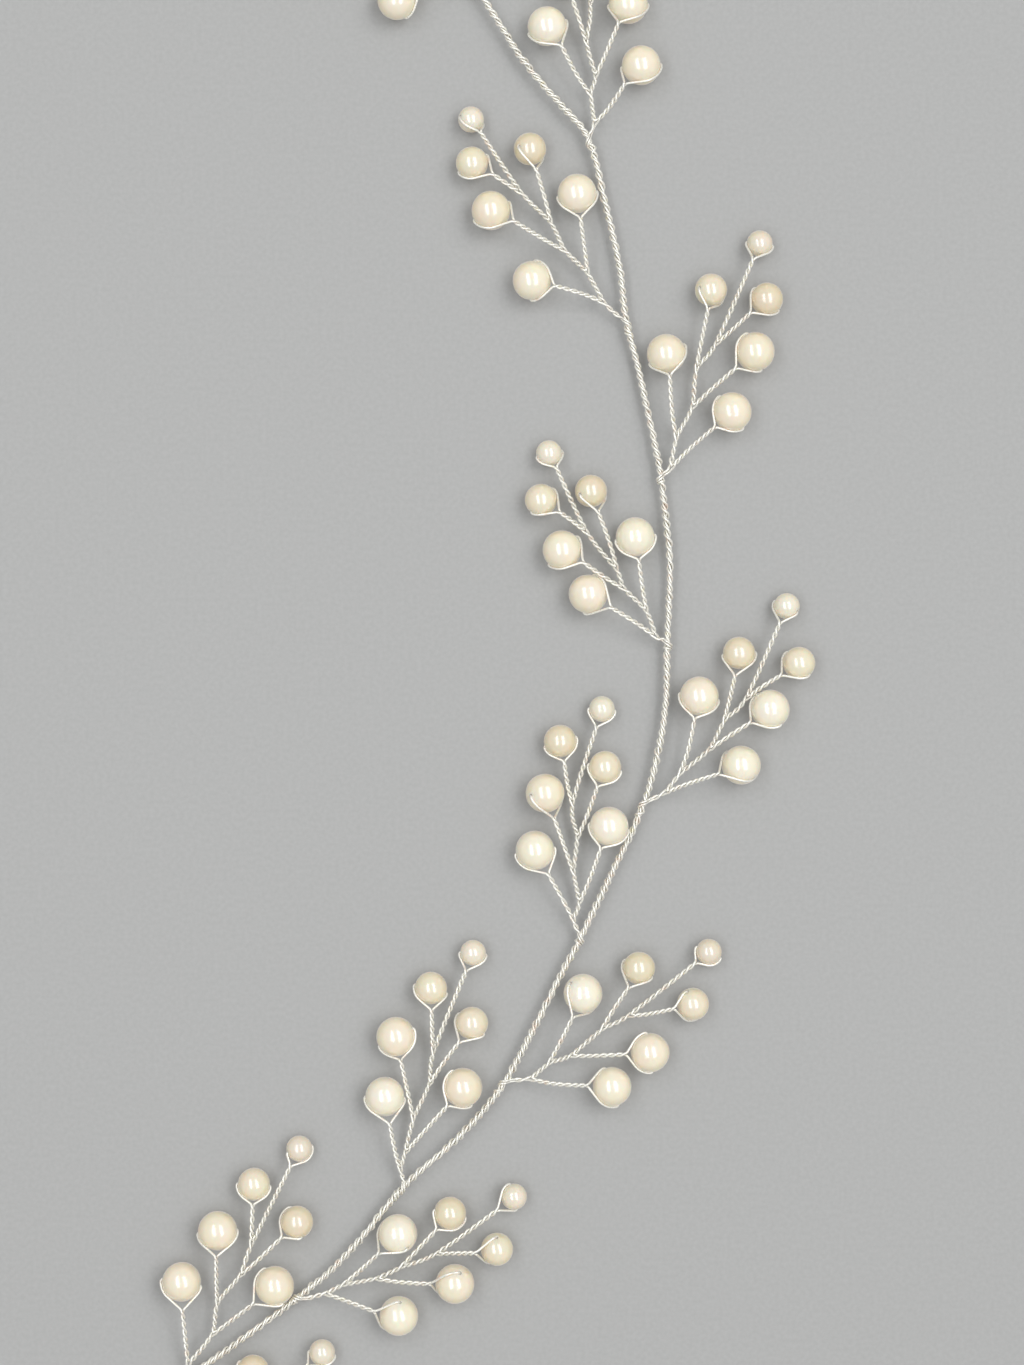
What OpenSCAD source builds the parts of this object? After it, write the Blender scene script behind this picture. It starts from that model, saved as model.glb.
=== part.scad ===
// Hair vine: a twisted wire stem lying in an S, with wire sprigs of drilled pearls on both sides.
// It lies flat with every pearl resting on z = 0. +Y runs up the vine, +X to its right.
// Layout tables are in grid units, with x to the right and y down the vine.

/* [Vine] */
// Straight distance between the two ends of the stem
vine_l = 243.8; // [200:0.2:320]
// Diameter of the twisted stem
stem_d = 0.95; // [0.8:0.05:1.3]
// Height of the stem's middle line above the surface it lies over
stem_z = 2; // [1.2:0.1:3]
// Inside diameter of the pin loop at each end
loop_in_d = 3; // [2:0.1:3.8]

/* [Pearls] */
// Diameter of the three large pearls low on a sprig
large_d = 6; // [5:0.1:8]
// Diameter of the two medium pearls
medium_d = 5; // [4:0.1:6]
// Diameter of the small pearl at the tip
small_d = 4; // [3:0.1:5]
// Reach of a middling sprig, from stem to tip pearl, in large pearls' diameters
reach_in_pearls = 6.2; // [6:0.05:8]

/* [Wire] */
// Diameter of one strand
wire_d = 0.35; // [0.25:0.01:0.45]
// Room between a strand and a pearl's face, or the stem it is wrapped round
wire_gap = 0.12; // [0.1:0.01:0.3]
// How much wider a pearl's bore is than the strand in it
bore_play = 0.65; // [0.4:0.05:0.9]
// Bare distance from a pearl's face to the collar where its two strands meet
collar_gap = 0.7; // [0.6:0.05:1.5]
// How much thicker a sprig's axis is than its branches
axis_more = 0.06; // [0.02:0.01:0.3]
// Height of the forks between stem and branches
fork_z = 2.4; // [1.4:0.1:3]

/* [Hidden] */
// Grid point that lies at the origin, under the middle of the vine
MIDDLE = [455.4, 688];

// Stem's middle line from its top end down, in grid units. Every sprig is joined at one of
// these points.
STEM = [
    [451, -53], [478, -12], [519, 54], [563, 107], [588, 139], [603, 191], [619, 265],
    [626.5, 321], [642, 384], [660.5, 476], [670, 561], [667.5, 642], [667, 692],
    [660, 745], [644, 802], [616, 866], [581, 937], [550, 998], [505, 1081], [460, 1136],
    [404, 1187], [342, 1260], [299, 1297], [232, 1347], [190, 1378], [142, 1428],
    [118, 1462], [100, 1492]];

// Columns of a sprig: point of the stem that it is joined at, forks a to e, pearls a to f.
// Branches to pearls a to d leave at their own fork; those to e and f both leave at fork e.
JOINED = 0;
FORKS = 1;
PEARLS = 2;
LAST_FORK = 4;
LAST_PEARL = 5;
SPRIGS = [
    [1, [[449, -19], [421, -37], [391, -48], [365, -66], [325, -79]],
        [[397, 1], [376, -103], [308, -49], [315, -122], [269, -82], [248, -121]]],
    [4, [[594, 123], [591, 94], [595, 76], [587, 43], [590, 3]],
        [[641, 66], [547, 27], [628, 5], [564, -22], [606, -59], [572, -97]]],
    [7, [[604, 302], [587, 273], [565, 250], [550, 222], [521, 192]],
        [[532, 281], [577, 194], [491, 211], [530, 149], [472, 163], [471, 119]]],
    [9, [[670, 468], [677, 437], [692, 407], [697, 369], [716, 343]],
        [[732, 412], [666, 354], [755, 352], [711, 290], [767, 299], [760, 243]]],
    [11, [[656, 636], [646, 611], [624, 588], [616, 569], [587, 532]],
        [[588, 594], [635, 537], [562, 550], [591, 491], [541, 500], [549, 453]]],
    [14, [[665, 792], [681, 773], [709, 749], [725, 720], [746, 698]],
        [[741, 765], [699, 696], [770, 709], [739, 653], [799, 663], [787, 606]]],
    [16, [[574, 919], [579, 902], [574, 872], [577, 837], [573, 803]],
        [[535, 850], [609, 826], [545, 793], [605, 767], [560, 741], [602, 709]]],
    [18, [[530, 1078], [550, 1063], [571, 1055], [603, 1029], [629, 1015]],
        [[612, 1086], [583, 993], [650, 1052], [639, 968], [693, 1004], [709, 952]]],
    [20, [[401, 1169], [405, 1152], [414, 1118], [429, 1084], [434, 1051]],
        [[385, 1096], [463, 1087], [396, 1036], [472, 1023], [431, 988], [473, 953]]],
    [22, [[326, 1293], [344, 1285], [377, 1278], [402, 1267], [437, 1253]],
        [[399, 1315], [398, 1233], [455, 1283], [450, 1213], [497, 1249], [514, 1197]]],
    [24, [[189, 1364], [212, 1334], [218, 1303], [240, 1275], [252, 1244]],
        [[182, 1281], [275, 1285], [218, 1230], [297, 1222], [254, 1184], [299, 1149]]],
    [26, [[143, 1458], [160, 1449], [188, 1440], [214, 1430], [246, 1413]],
        [[215, 1480], [201, 1402], [266, 1446], [253, 1371], [303, 1408], [322, 1353]]]];

// Columns of a pearl on a sprig: diameter, index of the fork that its branch leaves
PEARL_ROWS = [[large_d, 0], [large_d, 1], [large_d, 2], [medium_d, 3], [medium_d, 4], [small_d, 4]];

branch_d = 2 * wire_d;
axis_d = branch_d + axis_more;
bore_d = wire_d + bore_play;
wrap_r = stem_d / 2 + wire_gap + wire_d / 2;
// Length of stem that the wrap is drawn out over
wrap_l = 2 * wire_d;
last = len(STEM) - 1;

STRAND_SIDES = 5;
BRANCH_SIDES = 5;
STEM_SIDES = 6;
// Rings of the stem between two of its grid points
STEM_RINGS = 2;
// Straight pieces in one turn of the wrap round the stem, and in an end loop
WRAP_SEGMENTS = 6;
LOOP_SEGMENTS = 9;
PEARL_FN = 48;
// A branch runs on past both its ends by its diameter over the first of these, and an axis
// past its last fork by its diameter over the second, so that they are sunk in what they join
BRANCH_OVERRUN = 15;
AXIS_OVERRUN = 3;
// Angles from the bore at which a strand turns round its pearl, and half of its widest turn
STRAND_TURNS = [58, 26];
STRAND_HALF_TURN = 15;
// Two runs of a path that differ by less than this are one straight run
STRAIGHT = 0.001;

// Direction of a vector, the same vector level and turned a quarter left, and a list's mean
function unit(v) = v / norm(v);
function left(v) = [-v[1], v[0], 0];
function mean(v) = [for (x = v) 1] * v / len(v);

// Scale of the stem's grid and of the sprigs' grid
stem_mm = vine_l / norm(STEM[last] - STEM[0]);
reaches = [for (s = SPRIGS) norm(s[PEARLS][LAST_PEARL] - STEM[s[JOINED]])];
sprig_mm = reach_in_pearls * large_d / mean(reaches);

// Places in millimetres, from grid points
function level(p, mm) = [p[0] * mm, -p[1] * mm];
function stem_point(k) = concat(level(STEM[k] - MIDDLE, stem_mm), stem_z);
function stem_heading(k) = unit(stem_point(min(k + 1, last)) - stem_point(max(k - 1, 0)));
function sprig_point(s, p, z) =
    concat(level(STEM[s[JOINED]] - MIDDLE, stem_mm) + level(p - STEM[s[JOINED]], sprig_mm), z);
function fork(s, n) = sprig_point(s, s[FORKS][n], fork_z);
function pearl(s, n) = sprig_point(s, s[PEARLS][n], PEARL_ROWS[n][0] / 2);

// Level direction in which a branch reaches its pearl, and the collar where its strands part
function aim(s, n) = let (v = pearl(s, n) - fork(s, PEARL_ROWS[n][1])) unit([v[0], v[1], 0]);
function collar(s, n) = pearl(s, n) - (PEARL_ROWS[n][0] / 2 + collar_gap) * aim(s, n);

// Smooth curve through points, with steps pieces between each two
function curve(pts, steps) = [
    for (k = [0 : len(pts) - 2]) for (i = [0 : steps - 1]) between(pts, k, i / steps),
    pts[len(pts) - 1]];
function between(pts, k, t) =
    let (a = pts[max(k - 1, 0)], b = pts[k], c = pts[k + 1], d = pts[min(k + 2, len(pts) - 1)])
    b + t / 2 * (c - a) + t * t / 2 * (2 * a - 5 * b + 4 * c - d)
    + t * t * t / 2 * (3 * b - a - 3 * c + d);

// Rod of diameter d swept along a path: its rings turn as little as the path allows, and are
// stretched at a bend so that it stays as thick on both sides
function runs(path) = [for (k = [1 : len(path) - 1]) unit(path[k] - path[k - 1])];
function before(r, k) = r[max(k - 1, 0)];
function after(r, k) = r[min(k, len(r) - 1)];
function square_to(v, t) = unit(v - (v * t) * t);
function sides(t, first) = [
    for (k = 0, v = square_to(first, t[0]); k < len(t); k = k + 1,
         v = square_to(v, t[min(k, len(t) - 1)])) v];
function mitred(v, bend, t, run) =
    norm(bend) < STRAIGHT ? v : v + (1 / (t * run) - 1) * (v * unit(bend)) * unit(bend);
module rod(path, d, facets, first = [0, 0, 1]) {
    r = runs(path);
    n = len(path);
    t = [for (k = [0 : n - 1]) unit(before(r, k) + after(r, k))];
    v = sides(t, first);
    rings = [
        for (k = [0 : n - 1]) for (j = [0 : facets - 1])
            let (a = 360 * j / facets, out = cos(a) * v[k] + sin(a) * cross(t[k], v[k]))
            path[k] + d / 2 * mitred(out, after(r, k) - before(r, k), t[k], after(r, k))];
    walls = [
        for (k = [0 : n - 2]) for (j = [0 : facets - 1])
            let (a = k * facets + j, b = k * facets + (j + 1) % facets)
            [a, a + facets, b + facets, b]];
    ends = [[for (j = [0 : facets - 1]) j], [for (j = [facets - 1 : -1 : 0]) (n - 1) * facets + j]];
    polyhedron(rings, concat(walls, ends));
}

// Straight rod of diameter d from a to b, run on past both so that it is sunk in what it joins
module bar(a, b, d) {
    over = d / BRANCH_OVERRUN * unit(b - a);
    hull() rod([a - over, b + over], d, BRANCH_SIDES);
}

// Path of a plain pin loop that curls off one end of the stem and stops just clear of it
function end_loop(k) =
    let (out = (k == 0 ? -1 : 1) * stem_heading(k), r = (loop_in_d + stem_d) / 2,
         stop = 360 - acos(1 - (stem_d + wire_gap) / r))
    [for (i = [1 : LOOP_SEGMENTS])
        let (turn = stop * i / LOOP_SEGMENTS)
        stem_point(k) + r * (sin(turn) * out + (1 - cos(turn)) * left(out))];

module stem_wire() {
    top = end_loop(0);
    color("silver")
        rod(concat([for (i = [LOOP_SEGMENTS - 1 : -1 : 0]) top[i]],
                curve([for (k = [0 : last]) stem_point(k)], STEM_RINGS), end_loop(last)),
            stem_d, STEM_SIDES);
}

// One turn round the stem, drawn out along it, then a rod to the first fork
module wrap(s) {
    k = s[JOINED];
    along = stem_heading(k);
    toward = fork(s, 0) - stem_point(k);
    out = left(along) * (left(along) * toward > 0 ? 1 : -1);
    turn = [
        for (i = [0 : WRAP_SEGMENTS])
            stem_point(k) + (i / WRAP_SEGMENTS - 0.5) * wrap_l * along
            + wrap_r / cos(180 / WRAP_SEGMENTS)
            * (cos(360 * i / WRAP_SEGMENTS) * out + sin(360 * i / WRAP_SEGMENTS) * [0, 0, 1])];
    root = stem_point(k) + (wrap_r + wire_d / 2) * out;
    rod(turn, wire_d, STRAND_SIDES, along);
    hull() {
        rod([turn[0] - wire_d / 2 * along, turn[WRAP_SEGMENTS] + wire_d / 2 * along],
            wire_d, STRAND_SIDES);
        rod([root - wire_d * along, root + wire_d * along], branch_d, BRANCH_SIDES);
    }
    bar(root, fork(s, 0), branch_d);
}

// Strand from one side of the collar, round and through the pearl, and back to the other side
module strand(s, n) {
    r = PEARL_ROWS[n][0] / 2;
    ahead = aim(s, n);
    hug = r + wire_gap + wire_d / 2;
    // Columns: across the branch, back from the pearl's middle
    half = [
        [wire_d / 2, r + collar_gap + wire_d],
        for (turn = STRAND_TURNS) hug / cos(STRAND_HALF_TURN) * [cos(turn), sin(turn)],
        [hug, 0]];
    route = concat(half, [for (i = [len(half) - 1 : -1 : 0]) [-half[i][0], half[i][1]]]);
    rod([for (p = route) pearl(s, n) + p[0] * left(ahead) - p[1] * ahead], wire_d, STRAND_SIDES);
}

module sprig_wire(s) {
    forks = [for (n = [0 : LAST_FORK]) fork(s, n)];
    tip = forks[LAST_FORK];
    over = axis_d / AXIS_OVERRUN * unit(tip - forks[LAST_FORK - 1]);
    color("lightgray") {
        wrap(s);
        rod(concat(forks, [tip + over]), axis_d, BRANCH_SIDES);
        for (n = [0 : LAST_PEARL]) {
            bar(fork(s, PEARL_ROWS[n][1]), collar(s, n), branch_d);
            strand(s, n);
        }
    }
}

// Pearl turned about its bore, which lies along Z
module drilled_pearl(d) {
    rotate_extrude($fn = PEARL_FN)
        difference() {
            circle(d = d, $fn = PEARL_FN);
            translate([-d, -d]) square([d + bore_d / 2, 2 * d]);
        }
}

module sprig_pearls(s) {
    color("ivory")
        for (n = [0 : LAST_PEARL])
            translate(pearl(s, n))
                rotate([90, 0, atan2(aim(s, n)[1], aim(s, n)[0])])
                    drilled_pearl(PEARL_ROWS[n][0]);
}

function name(k, what) = str("sprig_", k < 9 ? "0" : "", k + 1, "_", what);

stem_wire();
for (k = [0 : len(SPRIGS) - 1]) {
    sprig_wire(SPRIGS[k]);
    sprig_pearls(SPRIGS[k]);
}
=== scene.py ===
"""Looks of the hair vine: twisted silvery strands and drilled pearls on a pale table.

The layout tables repeat the CAD source's grid, x to the right and y down. Lengths are
millimetres until a mesh is made, and metres in Blender.
"""

import math

import bpy
import numpy as np
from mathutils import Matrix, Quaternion, Vector
from mathutils.kdtree import KDTree


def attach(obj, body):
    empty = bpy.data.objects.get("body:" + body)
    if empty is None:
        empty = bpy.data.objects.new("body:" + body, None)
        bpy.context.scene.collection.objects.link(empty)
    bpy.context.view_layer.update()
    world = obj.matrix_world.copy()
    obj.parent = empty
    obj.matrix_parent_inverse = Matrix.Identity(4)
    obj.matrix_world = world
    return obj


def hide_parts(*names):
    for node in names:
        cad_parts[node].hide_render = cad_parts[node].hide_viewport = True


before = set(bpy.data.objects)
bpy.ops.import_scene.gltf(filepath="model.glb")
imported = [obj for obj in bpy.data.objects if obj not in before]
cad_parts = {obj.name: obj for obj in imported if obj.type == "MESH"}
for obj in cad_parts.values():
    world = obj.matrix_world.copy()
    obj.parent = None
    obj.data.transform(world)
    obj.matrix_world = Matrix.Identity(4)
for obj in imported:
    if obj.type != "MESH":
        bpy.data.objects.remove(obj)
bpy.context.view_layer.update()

MM = 0.001

# Layout, as in the CAD source

MIDDLE = (455.4, 688)
STEM = (
    (451, -53), (478, -12), (519, 54), (563, 107), (588, 139), (603, 191), (619, 265),
    (626.5, 321), (642, 384), (660.5, 476), (670, 561), (667.5, 642), (667, 692),
    (660, 745), (644, 802), (616, 866), (581, 937), (550, 998), (505, 1081), (460, 1136),
    (404, 1187), (342, 1260), (299, 1297), (232, 1347), (190, 1378), (142, 1428),
    (118, 1462), (100, 1492))
# A sprig: point of the stem that it is joined at, forks a to e, pearls a to f
SPRIGS = (
    (1, ((449, -19), (421, -37), (391, -48), (365, -66), (325, -79)),
     ((397, 1), (376, -103), (308, -49), (315, -122), (269, -82), (248, -121))),
    (4, ((594, 123), (591, 94), (595, 76), (587, 43), (590, 3)),
     ((641, 66), (547, 27), (628, 5), (564, -22), (606, -59), (572, -97))),
    (7, ((604, 302), (587, 273), (565, 250), (550, 222), (521, 192)),
     ((532, 281), (577, 194), (491, 211), (530, 149), (472, 163), (471, 119))),
    (9, ((670, 468), (677, 437), (692, 407), (697, 369), (716, 343)),
     ((732, 412), (666, 354), (755, 352), (711, 290), (767, 299), (760, 243))),
    (11, ((656, 636), (646, 611), (624, 588), (616, 569), (587, 532)),
     ((588, 594), (635, 537), (562, 550), (591, 491), (541, 500), (549, 453))),
    (14, ((665, 792), (681, 773), (709, 749), (725, 720), (746, 698)),
     ((741, 765), (699, 696), (770, 709), (739, 653), (799, 663), (787, 606))),
    (16, ((574, 919), (579, 902), (574, 872), (577, 837), (573, 803)),
     ((535, 850), (609, 826), (545, 793), (605, 767), (560, 741), (602, 709))),
    (18, ((530, 1078), (550, 1063), (571, 1055), (603, 1029), (629, 1015)),
     ((612, 1086), (583, 993), (650, 1052), (639, 968), (693, 1004), (709, 952))),
    (20, ((401, 1169), (405, 1152), (414, 1118), (429, 1084), (434, 1051)),
     ((385, 1096), (463, 1087), (396, 1036), (472, 1023), (431, 988), (473, 953))),
    (22, ((326, 1293), (344, 1285), (377, 1278), (402, 1267), (437, 1253)),
     ((399, 1315), (398, 1233), (455, 1283), (450, 1213), (497, 1249), (514, 1197))),
    (24, ((189, 1364), (212, 1334), (218, 1303), (240, 1275), (252, 1244)),
     ((182, 1281), (275, 1285), (218, 1230), (297, 1222), (254, 1184), (299, 1149))),
    (26, ((143, 1458), (160, 1449), (188, 1440), (214, 1430), (246, 1413)),
     ((215, 1480), (201, 1402), (266, 1446), (253, 1371), (303, 1408), (322, 1353))))
# Bores of pearls a to f as they show in the photograph, a row for each sprig: direction of one
# mouth in degrees from +X, its rise, and how far the strand stands off at that mouth and at
# the other
LOOPS = (
    ((115, 5, 0.2, 0.15), (40, 0, 0.2, 0.3), (80, 10, 0.15, 0.25),
     (50, -10, 0.3, 0.15), (95, 0, 0.2, 0.2), (65, 15, 0.15, 0.3)),
    ((185, 0, 0.35, 0.1), (20, 0, 0.25, 0.35), (182, 0, 0.3, 0.12),
     (12, 0, 0.2, 0.3), (170, 20, 0.15, 0.2), (185, 0, 0.25, 0.1)),
    ((85, 0, 0.12, 0.35), (188, 0, 0.2, 0.2), (28, 0, 0.2, 0.1),
     (180, 46, 0.1, 0.1), (32, 0, 0.3, 0.1), (172, 30, 0.1, 0.1)),
    ((126, 0, 0.12, 0.4), (30, 0, 0.5, 0.2), (110, 0, 0.1, 0.2),
     (177, 40, 0.15, 0.1), (137, 0, 0.3, 0.35), (172, 0, 0.2, 0.15)),
    ((76, 0, 0.1, 0.35), (188, 0, 0.15, 0.4), (45, 0, 0.45, 0.4),
     (200, 42, 0.15, 0.1), (50, -12, 0.1, 0.2), (15, -10, 0.15, 0.15)),
    ((-50, 25, 0.1, 0.1), (170, 0, 0.25, 0.1), (-55, 18, 0.2, 0.1),
     (185, 0, 0.25, 0.1), (-48, 18, 0.12, 0.15), (-30, 22, 0.1, 0.2)),
    ((10, 0, 0.2, 0.3), (170, 0, 0.2, 0.1), (188, 42, 0.15, 0.1),
     (167, 0, 0.35, 0.25), (198, 0, 0.2, 0.1), (175, 0, 0.25, 0.15)),
    ((110, 0, 0.1, 0.2), (140, 28, 0.05, 0.2), (98, 0, 0.3, 0.3),
     (-33, 18, 0.25, 0.15), (115, 24, 0.1, 0.1), (155, 0, 0.15, 0.3)),
    ((178, 0, 0.1, 0.1), (118, 0, 0.15, 0.4), (28, 8, 0.3, 0.25),
     (-38, 14, 0.45, 0.2), (165, 0, 0.3, 0.25), (175, 0, 0.2, 0.25)),
    ((85, 34, 0.1, 0.1), (-52, 34, 0.2, 0.1), (68, 42, 0.05, 0.1),
     (165, 12, 0.3, 0.1), (92, 34, 0.1, 0.1), (105, 0, 0.15, 0.1)),
    ((170, 0, 0.45, 0.1), (-62, 16, 0.35, 0.15), (185, 0, 0.28, 0.1),
     (-68, 24, 0.45, 0.2), (175, 0, 0.35, 0.2), (195, 20, 0.1, 0.1)),
    ((80, 0, 0.15, 0.25), (145, 10, 0.2, 0.1), (92, -5, 0.2, 0.3),
     (140, 0, 0.3, 0.2), (90, 15, 0.1, 0.2), (170, 0, 0.15, 0.2)))
# Pearls a to f: radius, fork that the branch leaves, and material
PEARL_R = (3.0, 3.0, 3.0, 2.5, 2.5, 2.0)
PEARL_FORK = (0, 1, 2, 3, 4, 4)
PEARL_LOOK = (0, 0, 0, 1, 1, 2)
TIP = 5
BRANCHES = 5

# Straight length between the stem's ends, and reach of a middling sprig in large pearls
VINE_L = 243.8
REACH_IN_PEARLS = 6.2
STEM_D = 0.95
LOOP_IN_D = 3.0
# Room between the pin loop's end and the stem
WIRE_GAP = 0.12
# Height of the stem's middle line and of the forks
STEM_Z = 2.0
FORK_Z = 2.4
STRAND_R = 0.185

LOOP_R = (LOOP_IN_D + STEM_D) / 2

STEM_GRID = np.array(STEM, float)
STEM_MM = VINE_L / np.linalg.norm(STEM_GRID[-1] - STEM_GRID[0])
SPRIG_MM = REACH_IN_PEARLS * 2 * PEARL_R[0] / np.mean([
    np.linalg.norm(np.array(pearls[TIP]) - STEM_GRID[joined]) for joined, _, pearls in SPRIGS])
UP = np.array((0.0, 0.0, 1.0))


def unit(v):
    return v / np.linalg.norm(v)


def level(p, mm):
    """A point of the grid, from its origin, in millimetres."""
    return np.array((p[0] * mm, -p[1] * mm))


def stem_point(k, z=STEM_Z):
    return np.append(level(STEM_GRID[k] - MIDDLE, STEM_MM), z)


def stem_heading(k):
    last = len(STEM) - 1
    return unit(stem_point(min(k + 1, last)) - stem_point(max(k - 1, 0)))


def sprig_point(joined, p, z):
    start = STEM_GRID[joined]
    return np.append(level(start - MIDDLE, STEM_MM) + level(np.array(p) - start, SPRIG_MM), z)


def left_of(v):
    return unit(np.array((-v[1], v[0], 0.0)))


# Paths

# Distance between points of a middle line, and of a strand's path
STEP = 0.08
STRAND_STEP = 0.07


def catmull(points):
    """Smooth curve through the points, as a close row of points."""
    p = [np.asarray(x, float) for x in points]
    out = []
    for k in range(len(p) - 1):
        a, b, c, d = p[max(k - 1, 0)], p[k], p[k + 1], p[min(k + 2, len(p) - 1)]
        n = max(2, int(np.linalg.norm(c - b) / STEP))
        t = (np.arange(n) / n)[:, None]
        out.append(b + t / 2 * (c - a) + t ** 2 / 2 * (2 * a - 5 * b + 4 * c - d)
                   + t ** 3 / 2 * (3 * b - a - 3 * c + d))
    out.append(p[-1][None, :])
    return np.concatenate(out)


def lengths(path):
    return np.concatenate(([0.0], np.cumsum(np.linalg.norm(np.diff(path, axis=0), axis=1))))


def at(path, run, s):
    """Points of the path at the distances s; run holds its lengths."""
    return np.stack([np.interp(s, run, path[:, i]) for i in range(3)], axis=-1)


def even(path, step):
    """The path with its points moved along it to equal distances, about step."""
    run = lengths(path)
    return at(path, run, np.linspace(0, run[-1], max(3, int(run[-1] / step) + 1)))


def smooth(path, passes):
    path = path.copy()
    for _ in range(passes):
        path[1:-1] = path[1:-1] / 2 + (path[:-2] + path[2:]) / 4
    return path


def headings(path):
    t = np.gradient(path, axis=0)
    return t / np.linalg.norm(t, axis=1)[:, None]


class Line:
    """Middle line of a twist, with the sideways and upright directions at each place."""

    def __init__(self, path):
        self.path = even(path, STEP)
        self.run = lengths(self.path)
        self.length = self.run[-1]
        t = headings(self.path)
        side = np.cross(UP, t)
        self.side = side / np.linalg.norm(side, axis=1)[:, None]
        self.lift = np.cross(t, self.side)

    def where(self, s, phase, reach):
        """Points beside the line at the distances s. Phase 0 is left, a quarter turn above."""
        side, lift = at(self.side, self.run, s), at(self.lift, self.run, s)
        c, n = np.cos(phase)[:, None], np.sin(phase)[:, None]
        return at(self.path, self.run, s) + np.asarray(reach).reshape(-1, 1) * (c * side + n * lift)

    def nearest(self, p):
        return self.run[np.argmin(np.linalg.norm(self.path - p, axis=1))]


def wander(rng, n, knots, size):
    """Smooth random values, n of them, that start and end at nothing."""
    k = max(3, knots)
    v = rng.normal(0, size, k)
    v[0] = v[-1] = 0
    x = np.linspace(0, k - 1, n)
    i = np.minimum(x.astype(int), k - 2)
    f = x - i
    f = f * f * (3 - 2 * f)
    return v[i] * (1 - f) + v[i + 1] * f


# Meshes

def thin(path, step, bend):
    """Leaves out points of straight runs: the rest are at most step and bend of turn apart."""
    run = lengths(path)
    t = headings(path)
    turn = np.concatenate(([0], np.cumsum(np.arccos(np.clip((t[1:] * t[:-1]).sum(1), -1, 1)))))
    weight = np.cumsum(np.concatenate((
        [0], np.maximum(np.diff(run) / step, np.diff(turn) / bend))))
    n = max(4, int(math.ceil(weight[-1])))
    s = np.interp(np.linspace(0, weight[-1], n + 1), weight, run)
    return at(path, run, s)


# A run that no strand reaches, the run within which a strand is its own neighbour, and
# the clearance at which a groove begins
APART = 100000.0
OWN_COIL = 0.95
GROOVE = 0.22
# A strand's sides, and the rings of its domed ends from the tip in: distance beyond the path
# and size, in radii
FACETS = 8
DOME = ((0.55, 0.55), (0.3, 0.86))
# Share of upright in a strand's first heading from which its first ring is turned aside
UPRIGHT = 0.95
ASIDE = (1.0, 0.3, 0.0)


def tube(path, radius):
    """Round tube along a path with domed ends: points, faces and each point's row in the path."""
    n = len(path)
    t = headings(path)
    v = np.zeros((n, 3))
    upright = abs(UP.dot(t[0])) >= UPRIGHT
    v[0] = unit(np.cross(t[0], ASIDE) if upright else UP - UP.dot(t[0]) * t[0])
    for k in range(1, n):
        v[k] = unit(v[k - 1] - v[k - 1].dot(t[k]) * t[k])
    u = np.cross(t, v)
    centre = ([path[0] - t[0] * radius * out for out, _ in DOME] + list(path)
              + [path[-1] + t[-1] * radius * out for out, _ in DOME[::-1]])
    size = [share for _, share in DOME] + [1.0] * n + [share for _, share in DOME[::-1]]
    pick = np.concatenate(([0] * len(DOME), np.arange(n), [n - 1] * len(DOME)))
    a = np.arange(FACETS) * 2 * math.pi / FACETS
    rings = (np.array(centre)[:, None, :]
             + (radius * np.array(size))[:, None, None]
             * (np.cos(a)[None, :, None] * v[pick][:, None, :]
                + np.sin(a)[None, :, None] * u[pick][:, None, :]))
    m = len(rings)
    points = rings.reshape(-1, 3)
    k, j = np.meshgrid(np.arange(m - 1), np.arange(FACETS), indexing="ij")
    b = (j + 1) % FACETS
    here, above = k * FACETS, (k + 1) * FACETS
    faces = np.stack((here + j, here + b, above + b, above + j), -1).reshape(-1, 4).tolist()
    faces.append(list(range(FACETS - 1, -1, -1)))
    faces.append([(m - 1) * FACETS + j for j in range(FACETS)])
    return points, faces, np.repeat(pick, FACETS)


def wound(paths, step, bend):
    """Tubes of strands that lie on each other, and how deep each point sits in a groove, 0 to 1.
    The rings of a tube are at most step and bend of turn apart."""
    paths = [thin(path, step, bend) for path in paths]
    tree = KDTree(sum(len(path) for path in paths))
    place = []
    for n, path in enumerate(paths):
        # Strands are kept apart by a run far longer than a strand's own coil
        for point, run in zip(path, lengths(path) + n * APART):
            tree.insert(point, len(place))
            place.append(run)
    tree.balance()
    parts, depths = [], []
    for n, path in enumerate(paths):
        points, faces, rows = tube(path, STRAND_R)
        runs = lengths(path)[rows] + n * APART
        parts.append((points, faces, 0))
        for point, run in zip(points, runs):
            clear = [d for _, k, d in tree.find_range(point, STRAND_R + GROOVE)
                     if abs(place[k] - run) > OWN_COIL]
            depths.append(1 - (min(clear) - STRAND_R) / GROOVE if clear else 0.0)
    return parts, np.clip(depths, 0, 1)


def make(name, parts, materials, node, values):
    """One piece from parts in millimetres, each its points, faces and one material index or
    one for each face. The values are each point's tone: how light a pearl is, or how deep in a
    groove the point of a wire sits."""
    points, faces, index = [], [], []
    base = 0
    for p, f, m in parts:
        points.append(p)
        faces.extend([[i + base for i in face] for face in f])
        index.extend(m if hasattr(m, "__len__") else [m] * len(f))
        base += len(p)
    mesh = bpy.data.meshes.new(name)
    mesh.from_pydata((np.concatenate(points) * MM).tolist(), [], faces)
    mesh.polygons.foreach_set("material_index", index)
    mesh.shade_smooth()
    for m in materials:
        mesh.materials.append(m)
    tone = mesh.attributes.new("tone", "FLOAT", "POINT")
    tone.data.foreach_set("value", np.asarray(values, np.float32))
    mesh.validate()
    mesh.update()
    piece = bpy.data.objects.new(name, mesh)
    bpy.context.scene.collection.objects.link(piece)
    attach(piece, "root")
    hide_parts(node)


# Materials

def new_material(name):
    m = bpy.data.materials.new(name)
    m.use_nodes = True
    nodes, links = m.node_tree.nodes, m.node_tree.links
    return m, nodes, links, nodes["Principled BSDF"]


def put(node, values):
    """Sets sockets of a node to constant values."""
    for socket, value in values.items():
        node.inputs[socket].default_value = value


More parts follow.
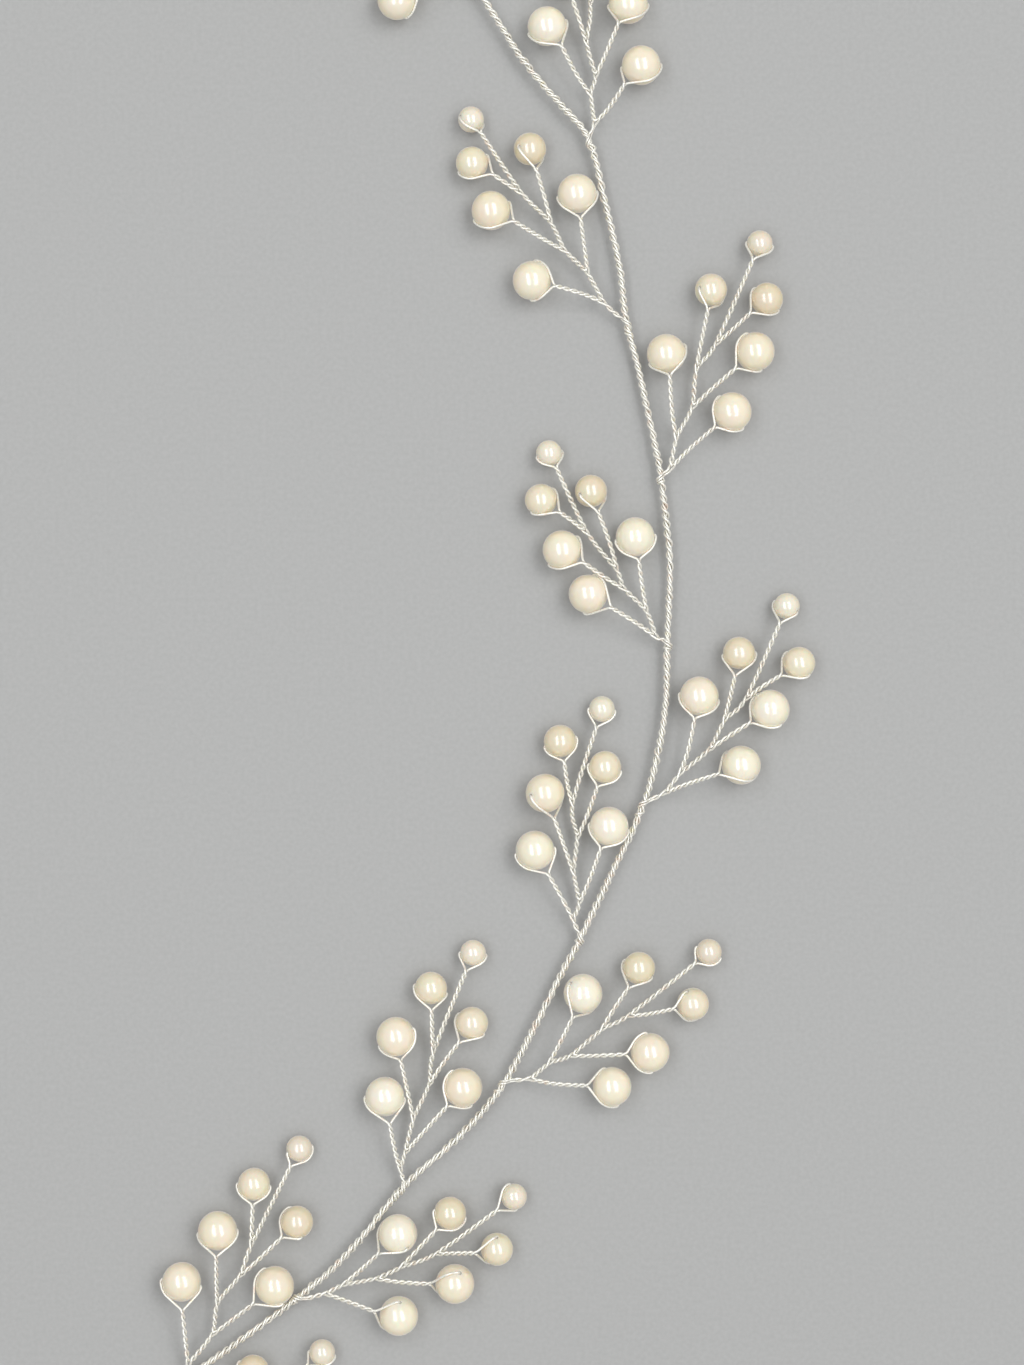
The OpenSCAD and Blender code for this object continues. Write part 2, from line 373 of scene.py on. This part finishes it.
def add(nodes, kind, **settings):
    n = nodes.new(kind)
    for key, value in settings.items():
        setattr(n, key, value)
    return n


def noise(nodes, links, coord, scale, detail=2.0, rough=0.5):
    """Noise of so many cells to the metre."""
    n = add(nodes, "ShaderNodeTexNoise")
    put(n, {"Scale": scale, "Detail": detail, "Roughness": rough})
    links.new(coord.outputs["Object"], n.inputs["Vector"])
    return n.outputs["Fac"]


def ramp(nodes, links, source, stops):
    r = add(nodes, "ShaderNodeValToRGB")
    while len(r.color_ramp.elements) > len(stops):
        r.color_ramp.elements.remove(r.color_ramp.elements[-1])
    while len(r.color_ramp.elements) < len(stops):
        r.color_ramp.elements.new(0.5)
    for e, (place, colour) in zip(r.color_ramp.elements, stops):
        e.position = place
        e.color = (*colour, 1.0)
    links.new(source, r.inputs["Fac"])
    return r.outputs["Color"]


# Colour sockets of a mix node, whose sockets of other kinds have the same names
MIX_FIRST, MIX_SECOND, MIX_RESULT = 6, 7, 2


def product(nodes, links, first, second):
    n = add(nodes, "ShaderNodeMix", data_type="RGBA", blend_type="MULTIPLY")
    n.inputs["Factor"].default_value = 1.0
    links.new(first, n.inputs[MIX_FIRST])
    links.new(second, n.inputs[MIX_SECOND])
    return n.outputs[MIX_RESULT]


def roughen(nodes, links, shader, source, low, high):
    n = add(nodes, "ShaderNodeMapRange")
    put(n, {"To Min": low, "To Max": high})
    links.new(source, n.inputs["Value"])
    links.new(n.outputs["Result"], shader.inputs["Roughness"])


def emboss(nodes, links, shader, source, strength, distance):
    n = add(nodes, "ShaderNodeBump")
    put(n, {"Strength": strength, "Distance": distance})
    links.new(source, n.inputs["Height"])
    links.new(n.outputs["Normal"], shader.inputs["Normal"])


# Share of a pearl's tone that its clouds make, and spread of its roughness either way
CLOUD = 0.35
ROUGH_SPREAD = 0.05
# Nacre's hue drifts between greenish cream and rose over a pearl's face
NACRE_HUES = ((0.38, (0.98, 1.0, 0.94)), (0.62, (1.0, 0.98, 0.96)))
NACRE = {
    "Metallic": 0.05, "IOR": 1.5,
    "Specular IOR Level": 1.0, "Specular Tint": (0.90, 0.95, 1.0, 1.0),
    "Subsurface Weight": 0.75, "Subsurface Radius": (1.0, 0.75, 0.55),
    "Subsurface Scale": 0.0016,
    "Coat Weight": 1.0, "Coat Roughness": 0.165, "Coat IOR": 2.4,
    "Sheen Weight": 1.0, "Sheen Roughness": 0.32, "Sheen Tint": (1.0, 0.90, 0.86, 1.0),
    "Thin Film Thickness": 320.0, "Thin Film IOR": 1.38}


def pearl_material(name, dark, light, rough):
    """Nacre between two colours, of roughness about rough."""
    m, nodes, links, shader = new_material(name)
    coord = add(nodes, "ShaderNodeTexCoord")
    tone = add(nodes, "ShaderNodeAttribute", attribute_name="tone")
    cloud = noise(nodes, links, coord, scale=420.0, detail=3.0, rough=0.55)
    both = add(nodes, "ShaderNodeMath", operation="MULTIPLY_ADD")
    links.new(cloud, both.inputs[0])
    both.inputs[1].default_value = CLOUD
    links.new(tone.outputs["Fac"], both.inputs[2])
    colour = ramp(nodes, links, both.outputs[0], ((0.1, dark), (0.9, light)))
    drift = noise(nodes, links, coord, scale=230.0, detail=1.0, rough=0.4)
    hue = ramp(nodes, links, drift, NACRE_HUES)
    links.new(product(nodes, links, colour, hue), shader.inputs["Base Color"])
    fine = noise(nodes, links, coord, scale=2600.0)
    roughen(nodes, links, shader, fine, rough - ROUGH_SPREAD, rough + ROUGH_SPREAD)
    swell = noise(nodes, links, coord, scale=900.0)
    emboss(nodes, links, shader, swell, strength=0.12, distance=0.00005)
    put(shader, NACRE)
    return m


def bore_material():
    m, nodes, links, shader = new_material("pearl_bore")
    coord = add(nodes, "ShaderNodeTexCoord")
    grain = noise(nodes, links, coord, scale=3000.0, detail=3.0)
    colour = ramp(nodes, links, grain, ((0.3, (0.55, 0.50, 0.42)), (0.7, (0.88, 0.85, 0.78))))
    links.new(colour, shader.inputs["Base Color"])
    shader.inputs["Roughness"].default_value = 0.6
    return m


# Silver plate from bare rosy patches to yellowed ones, and painted shade with some tarnish in the
# grooves between strands
PLATE_HUES = (
    (0.30, (0.94, 0.83, 0.73)), (0.40, (0.98, 0.95, 0.87)),
    (0.62, (0.99, 0.98, 0.91)), (0.74, (0.96, 0.91, 0.73)))
GROOVE_SHADE_AND_TARNISH = ((0.55, (1.0, 1.0, 1.0)), (0.97, (0.24, 0.20, 0.15)))


def wire_material():
    m, nodes, links, shader = new_material("silver_wire")
    coord = add(nodes, "ShaderNodeTexCoord")
    patch = noise(nodes, links, coord, scale=700.0, detail=2.0, rough=0.6)
    colour = ramp(nodes, links, patch, PLATE_HUES)
    groove = add(nodes, "ShaderNodeAttribute", attribute_name="tone")
    # Painted shade, with some tarnish: the base colour darkens where a point of the wire sits deep in
    # a groove between strands
    groove_shade_and_tarnish = ramp(nodes, links, groove.outputs["Fac"], GROOVE_SHADE_AND_TARNISH)
    links.new(product(nodes, links, colour, groove_shade_and_tarnish), shader.inputs["Base Color"])
    fine = noise(nodes, links, coord, scale=5200.0, detail=3.0, rough=0.6)
    roughen(nodes, links, shader, fine, low=0.22, high=0.36)
    emboss(nodes, links, shader, fine, strength=0.15, distance=0.00002)
    shader.inputs["Metallic"].default_value = 0.72
    return m


PEARL_MATERIALS = (
    pearl_material("pearl_large", dark=(0.865, 0.77, 0.57), light=(0.95, 0.885, 0.725), rough=0.42),
    pearl_material("pearl_medium", dark=(0.76, 0.665, 0.45), light=(0.85, 0.78, 0.59), rough=0.38),
    pearl_material("pearl_small", dark=(0.77, 0.695, 0.535), light=(0.865, 0.805, 0.665), rough=0.40))
BORE = bore_material()
BORE_LOOK = len(PEARL_MATERIALS)
WIRE = wire_material()

# Stem

PITCH_STEM = 2.95
# Four strands lie in a rhombus, longer one way: offsets across it
RHOMB = ((0.41, 0.0), (-0.41, 0.0), (0.0, 0.192), (0.0, -0.192))
STEM_SEED = 7
STEM_STEP = 0.1
# Unevenness of the stem: millimetres between changes, and their size. The turns and a strand's
# phase are in radians, the drifts in millimetres, and a strand's reach is a share.
TURNS_VARY = (7, 1.1)
SIDEWAYS_VARY = (6, 0.07)
UPWARDS_VARY = (11, 0.07)
REACH_VARY = (2.4, 0.13)
PHASE_VARY = (4, 0.28)
# Share by which a sprig's wrap squeezes the stem, and how far along it that spreads
SQUEEZE = 0.25
SQUEEZE_RUN = 0.9
LOOP_POINTS = 60
# Most distance and most turn between a strand's rings, on the stem and on a sprig
STEM_RINGS = (0.24, 0.4)
SPRIG_RINGS = (0.2, 0.36)


def stem_path():
    last = len(STEM) - 1
    body = catmull([stem_point(k) for k in range(last + 1)])

    def loop(k):
        """Pin loop from the stem's end k, nearly round to where it starts."""
        out = (-1 if k == 0 else 1) * stem_heading(k)
        side = left_of(out)
        stop = 2 * math.pi - math.acos(1 - (STEM_D + WIRE_GAP) / LOOP_R)
        a = np.linspace(0, stop, LOOP_POINTS)[1:, None]
        return stem_point(k) + LOOP_R * (np.sin(a) * out + (1 - np.cos(a)) * side)

    return np.concatenate((loop(0)[::-1], body, loop(last)))


def stem_piece():
    rng = np.random.default_rng(STEM_SEED)
    line = Line(stem_path())
    s = np.arange(0, line.length, STEM_STEP)

    def vary(run, size):
        return wander(rng, len(s), int(line.length / run), size)

    turns = s / PITCH_STEM * 2 * math.pi + vary(*TURNS_VARY)
    drift_x = vary(*SIDEWAYS_VARY)
    drift_z = vary(*UPWARDS_VARY)
    squeeze = np.ones(len(s))
    for joined, _, _ in SPRIGS:
        squeeze -= SQUEEZE * np.exp(-((s - line.nearest(stem_point(joined))) / SQUEEZE_RUN) ** 2)
    paths = []
    for a, b in RHOMB:
        far = squeeze * (1 + vary(*REACH_VARY))
        phase = vary(*PHASE_VARY) - turns
        c, d = np.cos(phase), np.sin(phase)
        x, z = far * (a * c - b * d) + drift_x, far * (a * d + b * c) + drift_z
        paths.append(at(line.path, line.run, s) + x[:, None] * at(line.side, line.run, s)
                     + z[:, None] * at(line.lift, line.run, s))
    parts, depths = wound(paths, *STEM_RINGS)
    make("stem_strands", parts, (WIRE,), "stem_wire", depths)


# Sprigs

# Run in which a sprig's two strands turn once, its least and most share, and the strands'
# reach from their line, which is a little more on the axis
PITCH = 2.15
PITCH_SHARE = (0.88, 1.15)
TWIST_R = 0.200
AXIS_SLACK = 0.015
# Unevenness of a twist: millimetres between changes, and their size. The phase is in radians,
# and the strands' reach on the axis and on a branch in millimetres.
TWIST_VARY = (2.5, 0.28)
AXIS_VARY = (1.5, 0.03)
BRANCH_VARY = (2, 0.022)
SPRIG_SEEDS = 100

# Distance between a pearl and its collar, what it varies by, and the collar's lift in degrees
COLLAR_GAP = 0.6
COLLAR_VARY = (-0.3, 0.35)
COLLAR_LIFT = (14, 34)

# A strand round a pearl: how deep it is pressed in, distance of its points on the face, depths
# in the bore that it runs through, how near the bore's line it isn't pushed out to the face,
# and the passes that round its bends before and after that push
PRESS = 0.02
FACE_STEP = 0.15
IN_BORE = (0.35, 0.9)
BESIDE_BORE = 0.3
ROUND_FIRST = 8
ROUND_LAST = 3
# Its bend at the mouth: how far back it begins, at least and at most, how high it stands and
# where it turns in, both in strand radii, and the ear's share in the first and in the height
MOUTH_BACK = 0.3
MOUTH_BACK_MOST = 0.5
MOUTH_HIGH = 0.45
MOUTH_IN = 0.4
EAR_SHARE = 0.4
# Points left out at both ends of the whole loop, where the branch's twist takes over
LOOP_ENDS = 2


def half_turns(length, rng):
    return max(1, int(round(length / (PITCH * rng.uniform(*PITCH_SHARE) / 2))))


def phases(rng, s, start, halves):
    """Phase along a twist that makes so many half turns, unevenly."""
    span = s[-1] - s[0]
    x = (s - s[0]) / span
    run, size = TWIST_VARY
    return start - halves * math.pi * x + wander(rng, len(s), int(span / run) + 2, size)


def string_round(c, q, r, mouth, gap, ear, side):
    """One strand from the collar to a bore's mouth, round a pearl of radius r about the origin.
    c points to the collar, q square to it towards the mouth, which is at the angle mouth."""
    hug = r + STRAND_R - PRESS
    start = np.array((r + gap, side))
    back = min(MOUTH_BACK_MOST, MOUTH_BACK + ear * EAR_SHARE) / r
    corner_r = r + MOUTH_HIGH * STRAND_R + EAR_SHARE * ear
    corner = corner_r * np.array((math.cos(mouth - back), math.sin(mouth - back)))
    pts = [start]
    # Angles at which the taut strand meets and leaves the pearl
    meet = math.atan2(start[1], start[0]) + math.acos(min(1, hug / np.linalg.norm(start)))
    leave = mouth - back - math.acos(min(1, hug / corner_r))
    if leave > meet:
        n = max(2, int((leave - meet) * r / FACE_STEP))
        pts += [hug * np.array((math.cos(a), math.sin(a))) for a in np.linspace(meet, leave, n)]
    pts.append(corner)
    inward = np.array((math.cos(mouth), math.sin(mouth)))
    pts.append(inward * (r + STRAND_R * MOUTH_IN))
    pts += [inward * (r - depth) for depth in IN_BORE]
    flat = np.array([np.append(p, 0.0) for p in pts])
    flat = smooth(even(flat, STRAND_STEP), ROUND_FIRST)
    d = np.linalg.norm(flat[:, :2], axis=1)
    across = np.abs(flat[:, 0] * inward[1] - flat[:, 1] * inward[0])
    push = (across > BESIDE_BORE) & (d < hug)
    flat[push, :2] *= (hug / d[push])[:, None]
    flat = smooth(flat, ROUND_LAST)
    return flat[:, :1] * c + flat[:, 1:2] * q


# How far a tail stands off on the stem's far side, for the sprigs where the photograph shows it
HOOKS = {4: 0.12, 5: 0.18, 7: 0.2, 1: 0.15, 10: 0.1}
SECOND_HOOK = 0.5
HOOK_SPREAD = 0.55
# How far a sprig's tails slant along the stem, hooked or not, and turns of the first and second
LEAN = (1.3, 1.7)
LEAN_HOOKED = (0.95, 1.25)
TAIL_TURNS = ((1.66, 1.8), (0.66, 0.8))
# A tail's points, its angle at the root, its reach, and its slant: the power that eases it over
# the front, its share past that, hooked or not, and where along it the joint lies
WRAP_POINTS = 60
WRAP_FROM = 0.35
WRAP_R = 0.55
EASE = 0.9
PAST = 0.6
PAST_HOOKED = 0.25
SLANT_MIDDLE = 0.55
TAILS_APART = 0.42
# Root of the axis: distance from the stem's middle, and share of the slant that it lies back
ROOT_OUT = 0.95
ROOT_BACK = 0.55
# Runs of the axis left out before the first stretch and on both sides of a fork, half the run
# that is kept of a stretch too short for that, and the least run to a stretch's last point
ROOT_GAP = 0.25
FORK_GAP = 0.3
SHORT_STRETCH = 0.09
LEAST_RUN = 0.01
# Points of the axis before a fork that tell the side on which the branch leaves
FORK_POINTS = 5
# A branch: run at the fork that gives the axis's heading, distance of its start to the side and
# upwards, size of its bow, shares of the way and of the bow at its two bowed points, and run to
# the first twist
FORK_PROBE = 0.3
FORK_SIDE = 0.16
FORK_UP = 0.10
BOW = 0.12
BOWED = ((0.33, 1.0), (0.67, 0.8))
BRANCH_START = 0.45
# Passes that round a whole strand, and its ends, over so many points: the wrap and the run up
# to the first fork
STRAND_PASSES = 6
ROOT_PASSES = 8
ROOT_RUN = 70


class Sprig:
    """A sprig's two strands and six pearls. A strand runs up the axis and out and back along
    each branch that it makes; the two are one wire that turns through the tip pearl."""

    def __init__(self, number, row):
        self.name = f"sprig_{number + 1:02d}"
        self.hook = HOOKS.get(number + 1, 0.0)
        self.rng = np.random.default_rng(SPRIG_SEEDS + number)
        self.joined, fork_grid, pearl_grid = row
        self.forks = [sprig_point(self.joined, p, FORK_Z) for p in fork_grid]
        self.pearls = [sprig_point(self.joined, p, r) for p, r in zip(pearl_grid, PEARL_R)]
        self.gaps, self.necks, self.collars, self.bores, self.ears = [], [], [], [], []
        for n, centre in enumerate(self.pearls):
            v = centre - self.forks[PEARL_FORK[n]]
            aim = unit(np.array((v[0], v[1], 0.0)))
            gap = COLLAR_GAP + self.rng.uniform(*COLLAR_VARY)
            # The branch comes in above the pearl's middle, so the loop crosses its face; the
            # gap is as it shows from above
            lift = math.radians(self.rng.uniform(*COLLAR_LIFT))
            gap = (PEARL_R[n] + gap) / math.cos(lift) - PEARL_R[n]
            self.gaps.append(gap)
            self.necks.append(-math.cos(lift) * aim + math.sin(lift) * UP)
            self.collars.append(centre + (PEARL_R[n] + gap) * self.necks[n])
            turn, rise, near, far = LOOPS[number][n]
            turn, rise = math.radians(turn), math.radians(rise)
            bore = np.array((math.cos(rise) * math.cos(turn), math.cos(rise) * math.sin(turn),
                             math.sin(rise)))
            # Kept as the direction of the mouth on the left of the branch, its ear first
            on_left = bore.dot(left_of(aim)) > 0
            self.bores.append(bore if on_left else -bore)
            self.ears.append((near, far) if on_left else (far, near))
        self.lay_out()

    def lay_out(self):
        k = self.joined
        toward = self.forks[0] - stem_point(k)
        along = stem_heading(k)
        self.out = left_of(along) * (1 if left_of(along).dot(toward) > 0 else -1)
        # The tails cross the stem slanting away from the branch, by this much along it
        lean = self.rng.uniform(*(LEAN_HOOKED if self.hook else LEAN))
        self.lean = -lean * np.sign(along.dot(toward))
        self.turns = [self.rng.uniform(*turns) for turns in TAIL_TURNS]
        root = stem_point(k) + ROOT_OUT * self.out - ROOT_BACK * self.lean * along
        self.axis = Line(catmull([root, *self.forks, self.collars[TIP]]))
        stations = [0.0] + [self.axis.nearest(f) for f in self.forks] + [self.axis.length]
        rng = self.rng
        # Phase of the first strand at each station: above the line at the root, level from there
        phase, self.stretches = math.pi / 2, []
        run, size = AXIS_VARY
        for n, (a, b) in enumerate(zip(stations, stations[1:])):
            halves = half_turns(b - a, rng) - (0 if n else 0.5)
            s = np.arange(a, b, STEP)
            s = np.append(s, b) if b - s[-1] > LEAST_RUN else s
            turn = phases(rng, s, phase, halves)
            uneven = np.abs(wander(rng, len(s), int((b - a) / run) + 2, size))
            reach = TWIST_R + AXIS_SLACK + uneven
            self.stretches.append((s, turn, reach))
            phase = turn[-1]
        self.build()

    def branch(self, n, side):
        """Out along branch n, round its pearl and back. Side is 1 if it leaves on the left."""
        rng = self.rng
        fork, collar = self.forks[PEARL_FORK[n]], self.collars[n]
        at_fork = self.axis.nearest(fork)
        probe = np.array([max(at_fork - FORK_PROBE, 0), at_fork + FORK_PROBE])
        before, after = at(self.axis.path, self.axis.run, probe)
        start = fork + FORK_SIDE * side * left_of(unit(after - before)) + FORK_UP * UP
        v = collar - start
        bow = rng.normal(0, BOW) * left_of(v)
        bowed = [start + v * way + bow * share for way, share in BOWED]
        line = Line(catmull([start, *bowed, collar]))
        s = np.arange(BRANCH_START, line.length + STEP / 2, STEP)
        halves = half_turns(line.length - BRANCH_START, rng)
        first = 0.0 if side > 0 else math.pi
        turn = phases(rng, s, first, halves)
        run, size = BRANCH_VARY
        reach = TWIST_R + np.abs(wander(rng, len(s), int(line.length / run) + 2, size))
        out = line.where(s, turn, reach)
        back = line.where(s, turn + math.pi, reach)
        out_side = 1 if math.cos(turn[-1]) > 0 else -1
        return np.concatenate((out, self.round_pearl(n, out_side), back[::-1]))

    def round_pearl(self, n, out_side):
        """From the collar's side out_side through the pearl to the collar's other side."""
        c = self.necks[n]
        halves = []
        for side in (out_side, -out_side):
            m = self.bores[n] * side
            q = unit(m - m.dot(c) * c)
            ear = self.ears[n][0 if side > 0 else 1]
            arc = string_round(c, q, PEARL_R[n], math.acos(m.dot(c)), self.gaps[n], ear, TWIST_R)
            halves.append(arc)
        path = np.concatenate((halves[0], halves[1][::-1]))
        return path[LOOP_ENDS:-LOOP_ENDS] + self.pearls[n]

    def wrap(self, first):
        """Tail of one strand round the stem, from its cut end to the root: first goes over it."""
        k = self.joined
        along = stem_heading(k)
        turn = self.turns[0] if first else self.turns[1]
        a = np.linspace(turn * 2 * math.pi, WRAP_FROM, WRAP_POINTS)
        # Slanting over the front, square round the far side and back
        past = PAST_HOOKED if self.hook else PAST
        over = np.minimum(a / math.pi, 1) ** EASE + past * np.maximum(a / math.pi - 1, 0)
        shift = self.lean * (over - SLANT_MIDDLE)
        if not first:
            shift += TAILS_APART * np.sign(self.lean)
        hook = self.hook * (1 if first else SECOND_HOOK)
        reach = WRAP_R + hook * np.exp(-((a - math.pi) / HOOK_SPREAD) ** 2)
        return (stem_point(k) + shift[:, None] * along
                + reach[:, None] * (np.cos(a)[:, None] * self.out + np.sin(a)[:, None] * UP))

    def build(self):
        """The strands' whole path, from one tail through the tip pearl to the other."""
        strands = [[self.wrap(True)], [self.wrap(False)]]
        for n, (s, turn, reach) in enumerate(self.stretches):
            low = s[0] + (FORK_GAP if n else ROOT_GAP)
            high = s[-1] - (FORK_GAP if n < BRANCHES else 0)
            keep = (s >= low) & (s <= high)
            if keep.sum() < 2:
                keep = np.abs(s - (s[0] + s[-1]) / 2) <= SHORT_STRETCH
            for which in (0, 1):
                phase = turn[keep] + which * math.pi
                strands[which].append(self.axis.where(s[keep], phase, reach[keep]))
            if n < BRANCHES:
                v = self.pearls[n] - self.forks[n]
                end = np.searchsorted(self.axis.run, s[-1])
                here = unit(self.axis.path[end - 1] - self.axis.path[end - 1 - FORK_POINTS])
                side = 1 if left_of(here).dot(v) > 0 else -1
                on_left = 0 if math.cos(turn[-1]) > 0 else 1
                which = on_left if side > 0 else 1 - on_left
                strands[which].append(self.branch(n, side))
            else:
                tip = self.round_pearl(TIP, 1 if math.cos(turn[-1]) > 0 else -1)
        first, second = (np.concatenate(x) for x in strands)
        whole = np.concatenate((first, tip, second[::-1]))
        whole = smooth(even(whole, STRAND_STEP), STRAND_PASSES)
        # The wire is slacker where it leaves the stem
        for end in (slice(0, ROOT_RUN), slice(len(whole) - ROOT_RUN, len(whole))):
            whole[end] = smooth(whole[end], ROOT_PASSES)
        self.path = whole

    def strands(self):
        parts, depths = wound([self.path], *SPRIG_RINGS)
        make(f"{self.name}_strands", parts, (WIRE,), f"{self.name}_wire", depths)

    def beads(self):
        parts, tones = [], []
        for n, centre in enumerate(self.pearls):
            points, faces, index = pearl_mesh(self.rng, PEARL_R[n], PEARL_LOOK[n])
            z = self.bores[n]
            x = unit(np.cross(z, UP + OFF_UPRIGHT))
            y = np.cross(z, x)
            placed = points[:, :1] * x + points[:, 1:2] * y + points[:, 2:] * z + centre
            parts.append((placed, faces, index))
            tones.append(np.full(len(points), self.rng.uniform(*PEARL_TONES)))
        make(f"{self.name}_beads", parts, (*PEARL_MATERIALS, BORE),
             f"{self.name}_pearls", np.concatenate(tones))


# A pearl's sides, rings of its face, and bore with its rings and how deep in they start
PEARL_SIDES = 40
FACE_RINGS = 27
BORE_R = 0.245
BORE_RINGS = 4
BORE_INSET = 0.45
# The bore's lip: its breadth, and its rings from the face in, each its distance from the bore's
# wall and its depth, as shares of that breadth
LIP = 0.12
LIP_RINGS = ((0.45, 0.0), (0.08, 0.35), (0.0, 1.1))
# Swells that keep a pearl from being quite round: how many, how steep, their phase and height,
# and the share of the radius beyond which the face lies
SWELLS = 5
SWELL_STEEP = 0.7
SWELL_PHASE = 6.28
SWELL = 0.0022
FACE_FROM = 0.9
# Least and most tone of a pearl, and what keeps a bore's sideways direction defined
PEARL_TONES = (0.15, 0.75)
OFF_UPRIGHT = 0.01


def pearl_mesh(rng, r, look):
    """Drilled pearl about its bore along Z: nearly round, with soft lips at the bore."""
    edge = math.asin((BORE_R + LIP) / r)
    polar = np.linspace(edge, math.pi - edge, FACE_RINGS)
    face = [(r * math.sin(a), r * math.cos(a)) for a in polar]
    top = r * math.cos(edge)
    lips = [(BORE_R + LIP * out, top - LIP * depth) for out, depth in LIP_RINGS]
    inside = [(BORE_R, z) for z in np.linspace(top - BORE_INSET, -top + BORE_INSET, BORE_RINGS)]
    profile = np.array(face + [(x, -z) for x, z in lips] + inside[::-1] + lips[::-1])
    a = np.arange(PEARL_SIDES) * 2 * math.pi / PEARL_SIDES
    pts = np.stack((profile[:, :1] * np.cos(a), profile[:, :1] * np.sin(a),
                    np.repeat(profile[:, 1:], PEARL_SIDES, axis=1)), -1).reshape(-1, 3)
    waves = rng.normal(0, 1, (SWELLS, 3))
    offs = rng.uniform(0, SWELL_PHASE, SWELLS)
    swell = sum(np.sin(pts @ (w * SWELL_STEEP) + o) for w, o in zip(waves, offs))
    far = np.linalg.norm(pts, axis=1, keepdims=True)
    pts = pts * (1 + SWELL * swell[:, None] * (far > r * FACE_FROM))
    m = len(profile)
    k, j = np.meshgrid(np.arange(m), np.arange(PEARL_SIDES), indexing="ij")
    here, below = k * PEARL_SIDES, (k + 1) % m * PEARL_SIDES
    j2 = (j + 1) % PEARL_SIDES
    quads = np.stack((here + j, below + j, below + j2, here + j2), -1).reshape(-1, 4)
    index = np.where(np.repeat(np.arange(m), PEARL_SIDES) < len(face) + 1, look, BORE_LOOK)
    return pts, quads.tolist(), index.tolist()


stem_piece()
for number, row in enumerate(SPRIGS):
    sprig = Sprig(number, row)
    sprig.strands()
    sprig.beads()


# Floor, lights and camera

# Metres from the floor's middle to its edge, so far that no corner shows, and the floor's
# height, just under the pearls
FLOOR_HALF = 20.0
FLOOR_Z = -0.00005
# Softboxes hang level over both sides, turned by so many degrees: X, width and watts
SOFTBOXES = {"right_softbox": (0.245, 0.22, 1.14), "left_softbox": (-0.230, 0.20, 1.03)}
SOFTBOX_Y, SOFTBOX_Z = 0.07, 0.55
SOFTBOX_L = 0.74
SOFTBOX_TURN = 9
COOL = (0.95, 0.975, 1.0)
# Grey of the sky and its strength
SKY = 0.80
SKY_STRENGTH = 0.75
# A window's glow: strength, spread in degrees, and the way it shines, from the right and a
# little from the top, so that shadows fall to the lower left
GLOW = 0.8
GLOW_SPREAD = 36
GLOW_WAY = (-0.62, -0.3, -1.0)
WARM = (1.0, 0.985, 0.955)
# Point that the camera looks straight down on, the photograph's middle, and the length that it
# sees there. The eye stands this many metres above that point.
VIEW_X, VIEW_Y, VIEW_Z = 8.71, 0.85, 2.5
VIEW_L = 210.0
EYE = 0.45
SENSOR = 36.0


def floor():
    mesh = bpy.data.meshes.new("table")
    h = FLOOR_HALF
    mesh.from_pydata([(-h, -h, 0), (h, -h, 0), (h, h, 0), (-h, h, 0)], [], [(0, 1, 2, 3)])
    m, nodes, links, shader = new_material("table_top")
    coord = add(nodes, "ShaderNodeTexCoord")
    grain = noise(nodes, links, coord, scale=1500.0, detail=3.0)
    colour = ramp(nodes, links, grain, ((0.3, (0.37, 0.37, 0.365)), (0.7, (0.40, 0.40, 0.395))))
    links.new(colour, shader.inputs["Base Color"])
    shader.inputs["Roughness"].default_value = 0.75
    mesh.materials.append(m)
    piece = bpy.data.objects.new("table", mesh)
    piece.location.z = FLOOR_Z
    bpy.context.scene.collection.objects.link(piece)


def softbox(name, x, width, watts):
    data = bpy.data.lights.new(name, "AREA")
    data.shape = "RECTANGLE"
    data.size, data.size_y = width, SOFTBOX_L
    data.energy = watts
    data.color = COOL
    lamp = bpy.data.objects.new(name, data)
    bpy.context.scene.collection.objects.link(lamp)
    lamp.location = (x, SOFTBOX_Y, SOFTBOX_Z)
    lamp.visible_camera = False
    down = Vector((0, 0, -SOFTBOX_Z)).to_track_quat("-Z", "Y")
    lamp.rotation_euler = (Quaternion((0, 0, 1), math.radians(SOFTBOX_TURN)) @ down).to_euler()


def lights():
    world = bpy.data.worlds.new("studio")
    world.use_nodes = True
    back = world.node_tree.nodes["Background"]
    back.inputs["Color"].default_value = (SKY, SKY, SKY, 1)
    back.inputs["Strength"].default_value = SKY_STRENGTH
    bpy.context.scene.world = world
    for name, (x, width, watts) in SOFTBOXES.items():
        softbox(name, x, width, watts)
    window = bpy.data.lights.new("window_glow", "SUN")
    window.energy = GLOW
    window.angle = math.radians(GLOW_SPREAD)
    window.color = WARM
    lamp = bpy.data.objects.new("window_glow", window)
    lamp.rotation_euler = Vector(GLOW_WAY).to_track_quat("-Z", "Y").to_euler()
    lamp.visible_glossy = False
    bpy.context.scene.collection.objects.link(lamp)


def picture():
    view = bpy.context.scene.view_settings
    view.view_transform = "Standard"
    view.look = "None"


def camera():
    data = bpy.data.cameras.new("camera")
    data.sensor_fit = "VERTICAL"
    data.sensor_height = SENSOR
    data.lens = SENSOR * EYE / (VIEW_L * MM)
    data.clip_start = 0.01
    eye = bpy.data.objects.new("camera", data)
    eye.location = (VIEW_X * MM, VIEW_Y * MM, EYE + VIEW_Z * MM)
    bpy.context.scene.collection.objects.link(eye)
    bpy.context.scene.camera = eye


floor()
lights()
picture()
camera()
